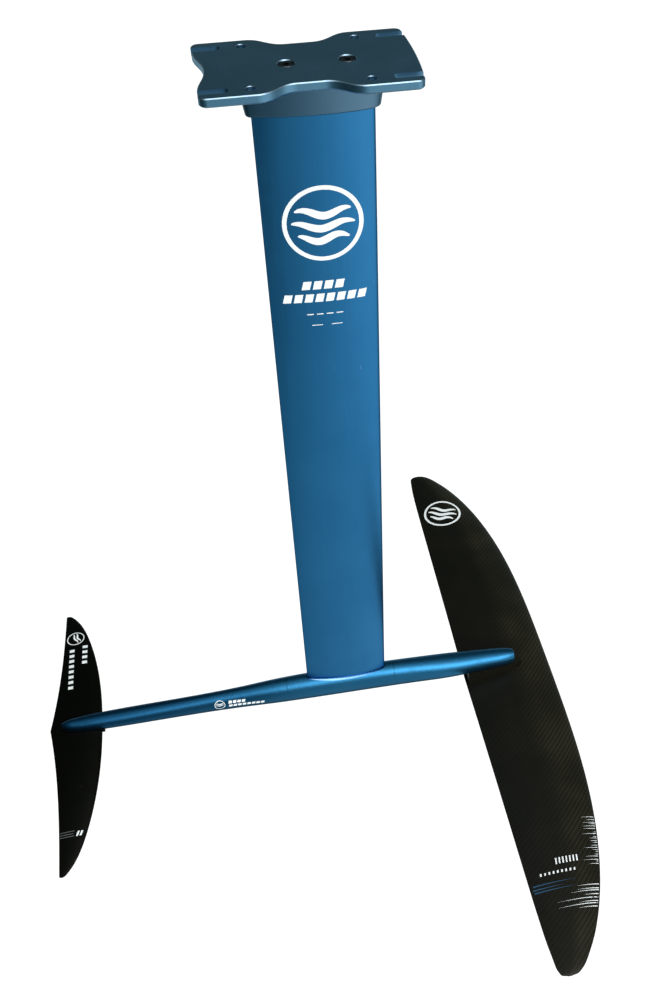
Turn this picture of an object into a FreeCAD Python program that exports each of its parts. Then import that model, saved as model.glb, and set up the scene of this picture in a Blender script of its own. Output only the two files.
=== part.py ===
# Hydrofoil: top plate, mast, fuselage, front wing and rear wing, bolted together.
# Millimetres. +X is the direction of travel, +Y is to port, +Z is up towards the board.
# The origin is the centre of the top plate's upper face, which lies against the board.
import FreeCAD, Part
import math
import os

os.makedirs("parts", exist_ok=True)

Vector = FreeCAD.Vector
up = Vector(0, 0, 1)

# ---------------------------------------------------------------- driving sizes
# Overall
mast_height = 850.0          # plate's upper face to the fuselage crown at the mast
front_span = 904.0
rear_span = 440.0

# Top plate
plate_length = 188.6
plate_width = 117.4
plate_thickness = 8.0
plate_waist = 85.6           # width between the two waists
waist_straight = 24.0        # straight stretch of a waist
waist_flare = 34.0           # length of the curve from waist to full width
curve_pull = 0.45            # how long the outline's curves hold their end directions
corner_radius = 7.0
nose_bow = 2.4               # how far the front edge bows forward
tail_notch = 7.8             # how far the rear edge is hollowed
notch_reach = 45.0           # from the centre to where the hollow starts
top_bevel = 0.8
lower_bevel = 1.4
track_spacing = 90.0         # between the board's two tracks
slot_width = 9.0
slot_reach = 25.4            # from the plate's end to the slot's inner end
hole_spacing = 101.0         # round holes, fore and aft
hole_radius = 4.25
hole_bevel = 0.5

# Mast
mast_chord = 111.0
mast_thickness = 16.0
mast_centre = 5.3            # middle of the chord, forward of the origin
mast_tail = 2.4              # thickness of the rounded trailing edge
mast_wall = 2.5
mast_solid_tail = 18.0       # solid stretch ahead of the trailing edge
screw_forward = 37.0         # front screw of the mast, top and foot
screw_aft = -16.0            # rear screw of the mast, top and foot
port_wall = 2.5              # solid web on each side of a mast insert
plug_length = 26.0
plug_recess = 1.0

# Collar
collar_height = 34.5
collar_deck = 6.0            # closed top that the screws pass through
collar_overhang = 4.8        # beyond the mast at the bottom
collar_flare = 5.8           # further out again at the top
collar_round = 2.5

# Fuselage. Each station: x, half width, crown and keel below the crown at the mast.
stations = [
    (-396.0, 3.2, 22.5, 37.0),
    (-390.0, 6.6, 20.0, 38.0),
    (-378.0, 9.2, 18.4, 38.4),
    (-358.0, 11.0, 16.8, 38.8),
    (-330.0, 12.0, 15.2, 38.8),
    (-250.0, 12.0, 11.8, 38.2),
    (-180.0, 12.0, 8.4, 38.2),
    (-140.0, 13.0, 5.6, 38.6),
    (-100.0, 15.0, 2.4, 39.0),
    (-60.0, 16.0, 0.3, 39.2),
    (5.0, 16.2, 0.0, 39.4),
    (70.0, 16.4, 0.4, 39.5),
    (110.0, 16.8, 2.4, 39.6),
    (150.0, 17.2, 5.0, 39.6),
    (175.0, 16.4, 6.6, 38.6),
    (205.0, 14.6, 8.0, 36.6),
    (232.0, 12.8, 9.6, 35.4),
    (246.0, 10.4, 11.0, 35.0),
    (252.0, 8.4, 12.4, 34.8),
]
body_squareness = 2.25       # 2 would be an ellipse
mast_pocket = 12.0           # depth of the mast's pocket below the crown
front_seat = 33.0            # flat under the nose, below the crown at the mast
front_seat_start = 183.0
rear_seat = 30.0             # flat under the tail, below the crown at the mast
rear_seat_start = -338.0
nose_bevel = 0.7
rim_width = 1.8              # spot face round the mast's foot
rim_depth = 3.3
saddle_ends = (-80.0, 73.0)  # fine turned lines at the ends of the machined saddle
line_width = 0.7
line_depth = 0.35

# Front wing
front_nose = 309.4           # leading edge at the centre
front_chord = 130.0
front_sweep = 81.6           # how far the leading edge falls back by the tip
front_sweep_power = 3.27
front_tail_sweep = 5.5       # how far the trailing edge comes forward by the tip
front_tip_nose = 13.0        # quick rounding close to the tip, leading edge
front_tip_tail = 6.0         # quick rounding close to the tip, trailing edge
front_thickness = 15.6
front_camber = 0.03
front_drop = 56.0            # leading edge below the crown at the mast
front_wash = 2.5             # trailing edge above the leading edge
front_anhedral = 9.0
front_boss_tip = 12.0        # how far the raised seat runs past the fuselage nose
front_screws = (196.0, 226.0)

# Rear wing
rear_nose = -342.0
rear_chord = 72.0
rear_sweep = 40.3
rear_sweep_power = 2.26
rear_tail_rise = 15.2        # how far the trailing edge comes forward of its centre point
rear_tail_power = 2.54
rear_tip_nose = 10.0
rear_thickness = 8.6
rear_camber = -0.006
rear_drop = 34.3
rear_wash = -0.6
rear_anhedral = 12.0
rear_boss_tip = 2.5          # how far the raised seat runs past the fuselage tail
rear_screws = (-355.0, -377.0)

# Both wings
nose_walls = 1.3             # material at a hollow foil's nose, in walls or skins
front_skin = 1.6
rear_skin = 1.2
front_core_end = 0.9         # where a core stops, as a share of the half span
rear_core_end = 0.74
tail_edge = 0.8              # thickness of a wing's trailing edge at the centre
front_tip_radius = 9.0
rear_tip_radius = 2.6
tip_power = 14.0             # how close to the tip the quick rounding stays
boss_margin = 1.5            # a raised seat's edge beyond the fuselage's flat
boss_draft = 0.22            # slope of a raised seat's side
boss_lift = 1.4              # the front seat's foot above the front wing's trailing edge
boss_root = 0.7              # the rear seat's foot below the rear wing's leading edge

# Fasteners: shank and head radius, then each head's height, socket and socket depth
big_shank = 4.0
big_head = 6.5
small_shank = 3.0
small_head = 6.0
low_head = {"height": 5.0, "socket": 5.0, "depth": 3.0}     # plate screws
tall_head = {"height": 8.0, "socket": 6.0, "depth": 4.0}    # mast screws
small_socket = 4.0
small_depth = 2.0
thread_gap = 0.05            # between a screw and its insert
hole_gap = 0.4               # round a screw's shank
head_gap = 1.0               # round a screw's head
head_recess = 0.6            # from a head's face to the surface round it
mast_grip = 21.6             # thread engaged in the mast
front_grip = 14.0
rear_grip = 7.0
mast_insert_wall = 1.0
front_insert_wall = 1.5
rear_insert_wall = 1.2
insert_cap = 1.0             # closed end of a blind insert
insert_spare = 0.4           # from a screw's tip to the insert's end
bush_wall = 1.0              # round a wing screw's head
fit_gap = 0.15               # round the mast in its two sockets
slack = 1.0                  # how far a cutting tool runs past a face
contact = 1e-3               # edges this close to a plane lie in it

# ---------------------------------------------------------------- derived levels
crown = -mast_height
deck_level = -plate_thickness
mast_top = deck_level - collar_deck
collar_foot = deck_level - collar_height
mast_foot = crown - mast_pocket
keel = crown - max(station[3] for station in stations)
front_seat_level = crown - front_seat
rear_seat_level = crown - rear_seat
plate_seat = -(head_recess + low_head["height"])
mast_screw_seat = keel + head_recess + tall_head["height"]
big_hole = big_shank + hole_gap
mast_insert = big_shank + mast_insert_wall
mast_insert_length = mast_grip + insert_spare
front_insert = (small_shank + front_insert_wall, front_grip + insert_spare + insert_cap)
rear_insert = (small_shank + rear_insert_wall, rear_grip + insert_spare + insert_cap)
bush_radius = small_head + bush_wall
parting_margin = front_chord / 10     # how far the space that parts the skins runs past them
parting_height = front_chord / 2
mast_screw_x = (screw_forward, screw_aft)
mast_nose_x = mast_centre + mast_chord / 2
mast_tail_x = mast_centre - mast_chord / 2


# ---------------------------------------------------------------- small helpers
def rod(radius, low, high, x=0.0, y=0.0):
    return Part.makeCylinder(radius, high - low, Vector(x, y, low), up)


def cone(radius_low, radius_high, low, high, x, y=0.0):
    return Part.makeCone(radius_low, radius_high, high - low, Vector(x, y, low), up)


def block(low, high):
    size = high - low
    return Part.makeBox(size.x, size.y, size.z, low)


def hexagon(flats, low, high, x):
    corners = []
    for turn in range(7):
        angle = turn * math.pi / 3
        reach = flats / math.sqrt(3)
        corners.append(Vector(x + reach * math.cos(angle), reach * math.sin(angle), low))
    return Part.Face(Part.makePolygon(corners)).extrude(Vector(0, 0, high - low))


def group(solids):
    return Part.makeCompound(list(solids))


def only_solid(shape):
    return max(shape.Solids, key=lambda solid: solid.Volume)


def edges_at(solid, level):
    found = []
    for edge in solid.Edges:
        box = edge.BoundBox
        if abs(box.ZMin - level) < contact and abs(box.ZMax - level) < contact:
            found.append(edge)
    return found


def cosine_shares(count):
    return [(1 - math.cos(math.pi * step / count)) / 2 for step in range(count + 1)]


# A foil's thickness along its chord: round at the nose, a wedge at the tail.
def foil_half(share, thickness, tail, taper):
    peak = 0.5 / (0.5 + taper)
    peak_value = peak**0.5 * (1 - peak)**taper
    body = thickness - tail * peak
    rounded = share**0.5 * (1 - share)**taper / peak_value
    return 0.5 * body * rounded + 0.5 * tail * share


# ---------------------------------------------------------------- top plate
def ease(start, end, along_x):
    reach = end - start
    step = Vector(reach.x * curve_pull, 0, 0) if along_x else Vector(0, reach.y * curve_pull, 0)
    curve = Part.BezierCurve()
    curve.setPoles([start, start + step, end - step, end])
    return curve.toShape()


def arc(first, middle, last):
    return Part.Arc(first, middle, last).toShape()


def line(first, last):
    return Part.LineSegment(first, last).toShape()


def plate_half(side):
    end = plate_length / 2
    edge = plate_width / 2
    waist = plate_waist / 2
    flat = waist_straight / 2
    inner = edge - corner_radius
    bend = corner_radius * (1 - math.sqrt(0.5))
    full = flat + waist_flare

    def at(x, y):
        return Vector(x, side * y, -plate_thickness)

    bow = nose_bow * (1 - (inner / 2 / inner)**2)
    return [
        arc(at(end + nose_bow, 0), at(end + bow, inner / 2), at(end, inner)),
        arc(at(end, inner), at(end - bend, edge - bend), at(end - corner_radius, edge)),
        line(at(end - corner_radius, edge), at(full, edge)),
        ease(at(full, edge), at(flat, waist), True),
        line(at(flat, waist), at(-flat, waist)),
        ease(at(-flat, waist), at(-full, edge), True),
        line(at(-full, edge), at(corner_radius - end, edge)),
        arc(at(corner_radius - end, edge), at(bend - end, edge - bend), at(-end, inner)),
        line(at(-end, inner), at(-end, notch_reach)),
        ease(at(-end, notch_reach), at(tail_notch - end, 0), False),
    ]


def slot_tool(end, side):
    inner = plate_length / 2 - slot_reach + slot_width / 2
    y = side * track_spacing / 2
    low = -plate_thickness - slack
    mouth = plate_length / 2 + nose_bow + slack
    first = min(end * inner, end * mouth)
    last = max(end * inner, end * mouth)
    lane = block(Vector(first, y - slot_width / 2, low), Vector(last, y + slot_width / 2, slack))
    return lane.fuse(rod(slot_width / 2, low, slack, end * inner, y))


def bevelled_hole(radius, bevel, low, high, x, y):
    bore = rod(radius, low - slack, high + slack, x, y)
    rim = cone(radius, radius + bevel + slack, high - bevel, high + slack, x, y)
    return bore.fuse(rim)


def make_top_plate():
    edges = plate_half(1) + plate_half(-1)
    outline = Part.Wire(Part.__sortEdges__(edges))
    plate = Part.Face(outline).extrude(Vector(0, 0, plate_thickness))
    plate = plate.makeChamfer(top_bevel, edges_at(plate, 0))
    plate = plate.makeChamfer(lower_bevel, edges_at(plate, -plate_thickness))
    corners = [(end, side) for end in (1, -1) for side in (1, -1)]
    for end, side in corners:
        plate = plate.cut(slot_tool(end, side))
        x = end * hole_spacing / 2
        y = side * track_spacing / 2
        plate = plate.cut(bevelled_hole(hole_radius, hole_bevel, -plate_thickness, 0, x, y))
    for x in mast_screw_x:
        recess = bevelled_hole(big_head + head_gap, top_bevel, plate_seat, 0, x, 0)
        plate = plate.cut(recess.common(rod(plate_width, plate_seat, slack, x)))
        plate = plate.cut(rod(big_hole, -plate_thickness - slack, slack, x))
    return only_solid(plate)


# ---------------------------------------------------------------- mast and collar
mast_taper = 0.85
outline_points = 26


def foil_loop(nose_x, tail_x, thickness, tail, taper, grow, level):
    chord = nose_x - tail_x
    upper = []
    for share in cosine_shares(outline_points):
        upper.append(Vector(nose_x - share * chord, foil_half(share, thickness, tail, taper), level))
    upper.reverse()
    lower = [Vector(point.x, -point.y, level) for point in reversed(upper[:-1])]
    points = upper + lower
    if grow:
        moved = []
        for index, point in enumerate(points):
            ahead = points[min(index + 1, len(points) - 1)]
            behind = points[max(index - 1, 0)]
            run = ahead - behind
            out = Vector(run.y, -run.x, 0)
            moved.append(point - out.normalize() * grow)
        points = moved
    skin_curve = Part.BSplineCurve()
    skin_curve.interpolate(points)
    back = Vector(tail_x - tail / 2 - grow, 0, level)
    return Part.Wire([skin_curve.toShape(), arc(points[-1], back, points[0])])


def mast_loop(grow, level):
    tail_x = mast_tail_x + mast_tail / 2
    return foil_loop(mast_nose_x, tail_x, mast_thickness, mast_tail, mast_taper, grow, level)


def mast_prism(grow, low, high):
    return Part.Face(mast_loop(grow, low)).extrude(Vector(0, 0, high - low))


def mast_cells(low, high):
    nose_x = mast_nose_x - nose_walls * mast_wall
    tail_x = mast_tail_x + mast_solid_tail
    inside = mast_thickness - 2 * mast_wall
    loop = foil_loop(nose_x, tail_x, inside, mast_tail / 2, mast_taper, 0.0, low)
    cells = Part.Face(loop).extrude(Vector(0, 0, high - low))
    for x in mast_screw_x:
        half = mast_insert + port_wall
        low_corner = Vector(x - half, -mast_thickness, low - slack)
        cells = cells.cut(block(low_corner, Vector(x + half, mast_thickness, high + slack)))
    return cells


def make_mast():
    mast = mast_prism(0.0, mast_foot, mast_top)
    mast = mast.cut(mast_cells(mast_foot - slack, mast_top + slack))
    for x in mast_screw_x:
        mast = mast.cut(rod(big_hole, mast_foot - slack, mast_top + slack, x))
        mast = mast.cut(rod(mast_insert, mast_top - mast_insert_length, mast_top + slack, x))
        mast = mast.cut(rod(mast_insert, mast_foot - slack, mast_foot + mast_insert_length, x))
    return only_solid(mast)


def make_mast_inserts(low):
    high = low + mast_insert_length
    bore = big_shank + thread_gap
    return group(rod(mast_insert, low, high, x).cut(rod(bore, low - slack, high + slack, x))
                 for x in mast_screw_x)


def make_plugs(low):
    return group(mast_cells(low, low + plug_length).Solids)


def make_collar():
    wide = mast_loop(collar_overhang + collar_flare, deck_level)
    narrow = mast_loop(collar_overhang, collar_foot)
    collar = Part.makeLoft([narrow, wide], True, True)
    collar = collar.makeFillet(collar_round, edges_at(collar, collar_foot))
    collar = collar.cut(mast_prism(fit_gap, collar_foot - slack, mast_top))
    for x in mast_screw_x:
        collar = collar.cut(rod(big_hole, mast_top - slack, deck_level + slack, x))
    return only_solid(collar)


# ---------------------------------------------------------------- screws
# A socket-head screw. It runs from its seat to its tip, and the head is on the other side.
def cap_screw(kind, seat, tip, x):
    way = math.copysign(1.0, seat - tip)
    face = seat + way * kind["height"]
    floor = face - way * kind["depth"]
    shank = rod(big_shank, min(tip, seat), max(tip, seat), x)
    head = rod(big_head, min(face, seat), max(face, seat), x)
    screw = head.makeChamfer(hole_bevel, edges_at(head, face)).fuse(shank)
    return screw.cut(hexagon(kind["socket"], min(face, floor), max(face, floor), x))


# A countersunk screw with its face below and its tip above.
def flat_screw(face, tip, x):
    neck = face + small_head - small_shank
    head = cone(small_head, small_shank, face, neck, x)
    screw = head.fuse(rod(small_shank, neck, tip, x))
    return screw.cut(hexagon(small_socket, face, face + small_depth, x))


def make_plate_screws():
    tip = mast_top - mast_grip
    return group(cap_screw(low_head, plate_seat, tip, x) for x in mast_screw_x)


def make_mast_screws():
    tip = mast_foot + mast_grip
    return group(cap_screw(tall_head, mast_screw_seat, tip, x) for x in mast_screw_x)


# ---------------------------------------------------------------- fuselage
ring_points = 24


def body_ring(station, shrink):
    x, half_width, crown_drop, keel_drop = station
    middle = crown - (crown_drop + keel_drop) / 2
    half_height = (keel_drop - crown_drop) / 2 - shrink
    wide = half_width - shrink
    power = 2 / body_squareness
    points = []
    for step in range(ring_points):
        angle = 2 * math.pi * step / ring_points
        side = math.copysign(abs(math.cos(angle))**power, math.cos(angle))
        rise = math.copysign(abs(math.sin(angle))**power, math.sin(angle))
        points.append(Vector(x, wide * side, middle + half_height * rise))
    curve = Part.BSplineCurve()
    curve.interpolate(points, True)
    return Part.Wire([curve.toShape()])


def body_loft(shrink):
    return Part.makeLoft([body_ring(station, shrink) for station in stations], True, False)


def insert_hole(insert, seat, x):
    radius, length = insert
    return rod(radius, seat - slack, seat + length, x)


def below(seat, start, end):
    reach = max(station[1] for station in stations) + slack
    low = Vector(min(start, end), -reach, keel - slack)
    return block(low, Vector(max(start, end), reach, seat))


def make_fuselage():
    body = body_loft(0.0)
    inner = body_loft(line_depth)
    reach = max(station[1] for station in stations) + slack
    for x in saddle_ends:
        slab = block(Vector(x - line_width / 2, -reach, (crown + keel) / 2),
                     Vector(x + line_width / 2, reach, crown + slack))
        body = body.cut(slab.cut(inner))
    body = body.cut(below(front_seat_level, front_seat_start, stations[-1][0] + slack))
    body = body.cut(below(rear_seat_level, rear_seat_start, stations[0][0] - slack))
    body = body.cut(mast_prism(fit_gap, mast_foot, crown + slack))
    body = body.cut(mast_prism(rim_width, crown - rim_depth, crown + slack))
    for x in mast_screw_x:
        body = body.cut(rod(big_head + head_gap, keel - slack, mast_screw_seat, x))
        body = body.cut(rod(big_hole, keel - slack, mast_foot + slack, x))
    nose_x = stations[-1][0]
    rim = [edge for edge in body.Edges if abs(edge.BoundBox.XMin - nose_x) < contact
           and abs(edge.BoundBox.XMax - nose_x) < contact]
    body = body.makeChamfer(nose_bevel, rim)
    for x in front_screws:
        body = body.cut(insert_hole(front_insert, front_seat_level, x))
    for x in rear_screws:
        body = body.cut(insert_hole(rear_insert, rear_seat_level, x))
    return only_solid(body)


def make_body_inserts(insert, seat, places):
    radius, length = insert
    bore = small_shank + thread_gap
    floor = seat + length - insert_cap
    return group(rod(radius, seat, seat + length, x).cut(rod(bore, seat - slack, floor, x))
                 for x in places)


# ---------------------------------------------------------------- wings
wing_taper = 1.0
section_points = 15
core_tail = 0.13             # solid stretch at the trailing edge, as a share of the chord
tip_steps = 3                # sections round a wing tip's corner
span_shares = [0.0, 0.12, 0.24, 0.36, 0.48, 0.6, 0.7, 0.79, 0.86, 0.92, 0.955]


def tip_corner(share, half_span, radius):
    into = max(0.0, (share - 1) * half_span / radius + 1)
    return radius * (1 - math.sqrt(max(0.0, 1 - into**2)))


# Nose x, tail x, nose z, tail z, thickness and camber at a share of the half span.
def front_section(share):
    quick = share**tip_power
    corner = tip_corner(share, front_span / 2, front_tip_radius)
    nose = front_nose - front_sweep * share**front_sweep_power - front_tip_nose * quick
    tail = front_nose - front_chord + front_tail_sweep * share + front_tip_tail * quick
    level = crown - front_drop - front_anhedral * share**2
    size = (nose - tail - 2 * corner) / front_chord
    rise = level + front_wash * size
    return nose - corner, tail + corner, level, rise, front_thickness * size, front_camber


def rear_section(share):
    corner = tip_corner(share, rear_span / 2, rear_tip_radius)
    nose = rear_nose - rear_sweep * share**rear_sweep_power - rear_tip_nose * share**tip_power
    forward = rear_tail_rise * (1 - (1 - share)**rear_tail_power)
    tail = rear_nose - rear_chord + forward
    level = crown - rear_drop - rear_anhedral * share**2
    size = (nose - tail - 2 * corner) / rear_chord
    rise = level + rear_wash * size
    return nose - corner, tail + corner, level, rise, rear_thickness * size, rear_camber


def inset_limits(chord, inset):
    return nose_walls * inset / chord, 1 - (core_tail if inset else 0.0)


# Height of a section's upper (+1) or lower (-1) surface at a share of its chord.
def surface(section, share, side, inset=0.0):
    nose, tail, nose_z, tail_z, thickness, camber = section
    chord = nose - tail
    start, end = inset_limits(chord, inset)
    within = min(max((share - start) / (end - start), 0.0), 1.0)
    edge = tail_edge * chord / front_chord
    half = foil_half(within, thickness - 2 * inset, edge, wing_taper)
    mean = nose_z + (tail_z - nose_z) * share + 4 * camber * chord * share * (1 - share)
    return mean + side * half


def wing_loop(section, y, inset):
    nose, tail = section[:2]
    chord = nose - tail
    start, end = inset_limits(chord, inset)
    rows = []
    for side in (1, -1):
        row = []
        for part in cosine_shares(section_points):
            share = start + part * (end - start)
            row.append(Vector(nose - share * chord, y, surface(section, share, side, inset)))
        rows.append(row)
    points = rows[0][::-1] + rows[1][1:]
    curve = Part.BSplineCurve()
    curve.interpolate(points)
    return Part.Wire([curve.toShape(), line(points[-1], points[0])])


# The space above a section's chord line, which parts the upper skin from the lower one.
def upper_loop(section, y):
    nose, tail, nose_z, tail_z = section[:4]
    margin = parting_margin
    slope = (nose_z - tail_z) / (nose - tail)
    ahead = Vector(nose + margin, y, nose_z + slope * margin)
    astern = Vector(tail - margin, y, tail_z - slope * margin)
    lift = Vector(0, 0, parting_height)
    return Part.makePolygon([ahead, astern, astern + lift, ahead + lift, ahead])


def tip_shares(wing):
    radius_share = 2 * wing["tip"] / wing["span"]
    turns = [turn * math.pi / 2 / tip_steps for turn in range(tip_steps + 1)]
    return [1 - radius_share * (1 - math.sin(turn)) for turn in turns]


def both_ways(shares):
    return [-share for share in reversed(shares[1:])] + shares


def wing_solid(wing, inset):
    if inset:
        shares = [share for share in span_shares if share < wing["core_end"]] + [wing["core_end"]]
    else:
        shares = span_shares + tip_shares(wing)
    if wing["smooth"]:
        shares = both_ways(shares)
    loops = []
    for share in shares:
        loops.append(wing_loop(wing["section"](abs(share)), share * wing["span"] / 2, inset))
    return Part.makeLoft(loops, True, False)


def upper_space(wing):
    past = 2 * slack / wing["span"]
    shares = span_shares + [1.0, 1.0 + past]
    shares = both_ways(shares) if wing["smooth"] else [-past] + shares
    loops = []
    for share in shares:
        section = wing["section"](min(abs(share), 1.0))
        loops.append(upper_loop(section, share * wing["span"] / 2))
    return Part.makeLoft(loops, True, False)


def mirrored(half):
    return half.fuse(half.mirror(Vector(0, 0, 0), Vector(0, 1, 0)))


# Half width of the fuselage at a place and a level.
def body_half_width(x, level):
    for first, second in zip(stations, stations[1:]):
        if first[0] <= x <= second[0]:
            part = (x - first[0]) / (second[0] - first[0])
            break
    wide, crown_drop, keel_drop = [first[i] + part * (second[i] - first[i]) for i in (1, 2, 3)]
    middle = crown - (crown_drop + keel_drop) / 2
    off = abs(level - middle) / ((keel_drop - crown_drop) / 2)
    return wide * max(0.0, 1 - off**body_squareness)**(1 / body_squareness)


# A raised seat under an end of the fuselage: a drafted pad with a pointed far end.
boss_shares = [0.0, 0.3, 0.6, 0.85, 1.0]


def boss_outline(wing, level):
    grow = (wing["seat"] - level) * boss_draft + boss_margin
    start, stop = wing["boss"]
    way = math.copysign(1.0, stop - start)
    places = [start + (stop - start) * part for part in boss_shares]
    port = [Vector(x, body_half_width(x, wing["seat"]) + grow, level) for x in places]
    tip = Vector(stop + way * (wing["boss_tip"] + (wing["seat"] - level) * boss_draft), 0, level)
    starboard = [Vector(point.x, -point.y, level) for point in reversed(port)]
    curve = Part.BSplineCurve()
    curve.interpolate(port + [tip] + starboard)
    return Part.Wire([curve.toShape(), line(starboard[-1], port[0])])


def make_boss(wing):
    outlines = [boss_outline(wing, wing["root"]), boss_outline(wing, wing["seat"])]
    return Part.makeLoft(outlines, True, True)


def screw_face(wing, x):
    nose, tail = wing["section"](0.0)[:2]
    return surface(wing["section"](0.0), (nose - x) / (nose - tail), -1) + head_recess


def make_wing(wing):
    outer = wing_solid(wing, 0.0)
    core = wing_solid(wing, wing["skin"])
    space = upper_space(wing)
    upper = outer.common(space).cut(core)
    lower = outer.cut(space).cut(core)
    if not wing["smooth"]:
        outer, core, upper, lower = [mirrored(half) for half in (outer, core, upper, lower)]
    boss = only_solid(make_boss(wing).cut(outer))
    upper = upper.fuse(boss)
    bushes = []
    screws = []
    for x in wing["screws"]:
        tube = rod(bush_radius, wing["floor"], wing["seat"], x)
        face = screw_face(wing, x)
        shank_hole = small_shank + hole_gap
        shoulder = face + small_head - shank_hole
        hole = rod(shank_hole, face, wing["seat"] + slack, x)
        hole = hole.fuse(cone(small_head, shank_hole, face, shoulder, x))
        hole = hole.fuse(rod(small_head + hole_gap, wing["floor"] - slack, face, x))
        bushes.append(tube.common(outer.fuse(boss)).cut(hole))
        upper = upper.cut(tube)
        lower = lower.cut(tube)
        core = core.cut(tube)
        screws.append(flat_screw(face, wing["seat"] + wing["grip"], x))
    return {
        "upper_skin": only_solid(upper),
        "lower_skin": only_solid(lower),
        "core": only_solid(core),
        "bushes": group(only_solid(bush) for bush in bushes),
        "screws": group(screws),
    }


front_wing = {
    "section": front_section,
    "span": front_span,
    "tip": front_tip_radius,
    "smooth": True,
    "skin": front_skin,
    "core_end": front_core_end,
    "seat": front_seat_level,
    "boss": (front_seat_start + fit_gap, stations[-1][0]),
    "boss_tip": front_boss_tip,
    "root": crown - front_drop + front_wash + boss_lift,
    "floor": crown - front_drop - front_thickness,
    "screws": front_screws,
    "grip": front_grip,
}
rear_wing = {
    "section": rear_section,
    "span": rear_span,
    "tip": rear_tip_radius,
    "smooth": False,
    "skin": rear_skin,
    "core_end": rear_core_end,
    "seat": rear_seat_level,
    "boss": (rear_seat_start - fit_gap, stations[0][0]),
    "boss_tip": rear_boss_tip,
    "root": crown - rear_drop - boss_root,
    "floor": crown - rear_drop - rear_thickness,
    "screws": rear_screws,
    "grip": rear_grip,
}


# ---------------------------------------------------------------- export
nodes = {
    "top_plate": make_top_plate(),
    "mast_collar": make_collar(),
    "mast": make_mast(),
    "mast_top_inserts": make_mast_inserts(mast_top - mast_insert_length),
    "mast_foot_inserts": make_mast_inserts(mast_foot),
    "mast_top_plugs": make_plugs(mast_top - plug_recess - plug_length),
    "mast_foot_plugs": make_plugs(mast_foot + plug_recess),
    "plate_screws": make_plate_screws(),
    "mast_screws": make_mast_screws(),
    "fuselage": make_fuselage(),
    "fuselage_front_inserts": make_body_inserts(front_insert, front_seat_level, front_screws),
    "fuselage_rear_inserts": make_body_inserts(rear_insert, rear_seat_level, rear_screws),
}
for title, wing in (("front_wing", front_wing), ("rear_wing", rear_wing)):
    for piece, shape in make_wing(wing).items():
        nodes[title + "_" + piece] = shape

for name, shape in nodes.items():
    shape.exportStep("parts/" + name + ".step")
    print(name, len(shape.Solids), round(shape.Volume, 1), shape.isValid())
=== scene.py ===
import math

import bmesh
import bpy
from mathutils import Matrix, Vector
from mathutils.bvhtree import BVHTree


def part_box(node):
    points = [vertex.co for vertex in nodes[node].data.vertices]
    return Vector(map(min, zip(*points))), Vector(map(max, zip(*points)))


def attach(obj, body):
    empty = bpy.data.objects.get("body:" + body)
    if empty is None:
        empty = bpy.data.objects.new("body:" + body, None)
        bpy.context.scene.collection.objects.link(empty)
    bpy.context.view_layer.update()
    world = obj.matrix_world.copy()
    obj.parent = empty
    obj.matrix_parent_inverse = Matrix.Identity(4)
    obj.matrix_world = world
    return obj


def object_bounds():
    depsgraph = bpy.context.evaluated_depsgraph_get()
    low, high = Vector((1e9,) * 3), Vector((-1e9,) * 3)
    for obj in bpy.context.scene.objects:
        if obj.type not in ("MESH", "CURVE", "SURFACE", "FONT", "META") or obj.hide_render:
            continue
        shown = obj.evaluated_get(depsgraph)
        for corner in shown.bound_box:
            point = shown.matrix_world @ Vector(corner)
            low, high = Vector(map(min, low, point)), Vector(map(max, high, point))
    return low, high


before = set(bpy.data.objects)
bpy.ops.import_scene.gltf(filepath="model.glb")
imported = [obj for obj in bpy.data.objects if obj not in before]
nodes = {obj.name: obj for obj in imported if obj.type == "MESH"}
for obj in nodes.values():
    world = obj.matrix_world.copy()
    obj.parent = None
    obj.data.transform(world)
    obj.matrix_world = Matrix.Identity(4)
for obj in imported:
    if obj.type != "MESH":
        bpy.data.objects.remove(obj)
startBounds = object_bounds()
body = "root"
print("frame loaded:", len(nodes), "nodes")


# A shader value that can be written in ordinary sums.
class Wire:
    def __init__(self, sheet, socket):
        self.sheet = sheet
        self.socket = socket

    def __add__(self, other):
        return self.sheet.maths("ADD", self, other)

    def __radd__(self, other):
        return self.sheet.maths("ADD", other, self)

    def __sub__(self, other):
        return self.sheet.maths("SUBTRACT", self, other)

    def __rsub__(self, other):
        return self.sheet.maths("SUBTRACT", other, self)

    def __mul__(self, other):
        return self.sheet.maths("MULTIPLY", self, other)

    def __rmul__(self, other):
        return self.sheet.maths("MULTIPLY", other, self)

    def __truediv__(self, other):
        return self.sheet.maths("DIVIDE", self, other)

    def __rtruediv__(self, other):
        return self.sheet.maths("DIVIDE", other, self)

    def __pow__(self, other):
        return self.sheet.maths("POWER", self, other)

    def __rpow__(self, other):
        return self.sheet.maths("POWER", other, self)

    def __mod__(self, other):
        return self.sheet.maths("FLOORED_MODULO", self, other)

    def __neg__(self):
        return self.sheet.maths("MULTIPLY", self, -1.0)

    def __abs__(self):
        return self.sheet.maths("ABSOLUTE", self)

    def __lt__(self, other):
        return self.sheet.maths("LESS_THAN", self, other)

    def __gt__(self, other):
        return self.sheet.maths("GREATER_THAN", self, other)

    def floored(self):
        return self.sheet.maths("FLOOR", self)

    def atLeast(self, other):
        return self.sheet.maths("MAXIMUM", self, other)

    def atMost(self, other):
        return self.sheet.maths("MINIMUM", self, other)

    def eased(self, low, high):
        made = self.sheet.node(
            "ShaderNodeMapRange",
            {"interpolation_type": "SMOOTHSTEP"},
            {"Value": self, "From Min": low, "From Max": high},
        )
        return self.sheet.wire(made, "Result")


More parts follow.
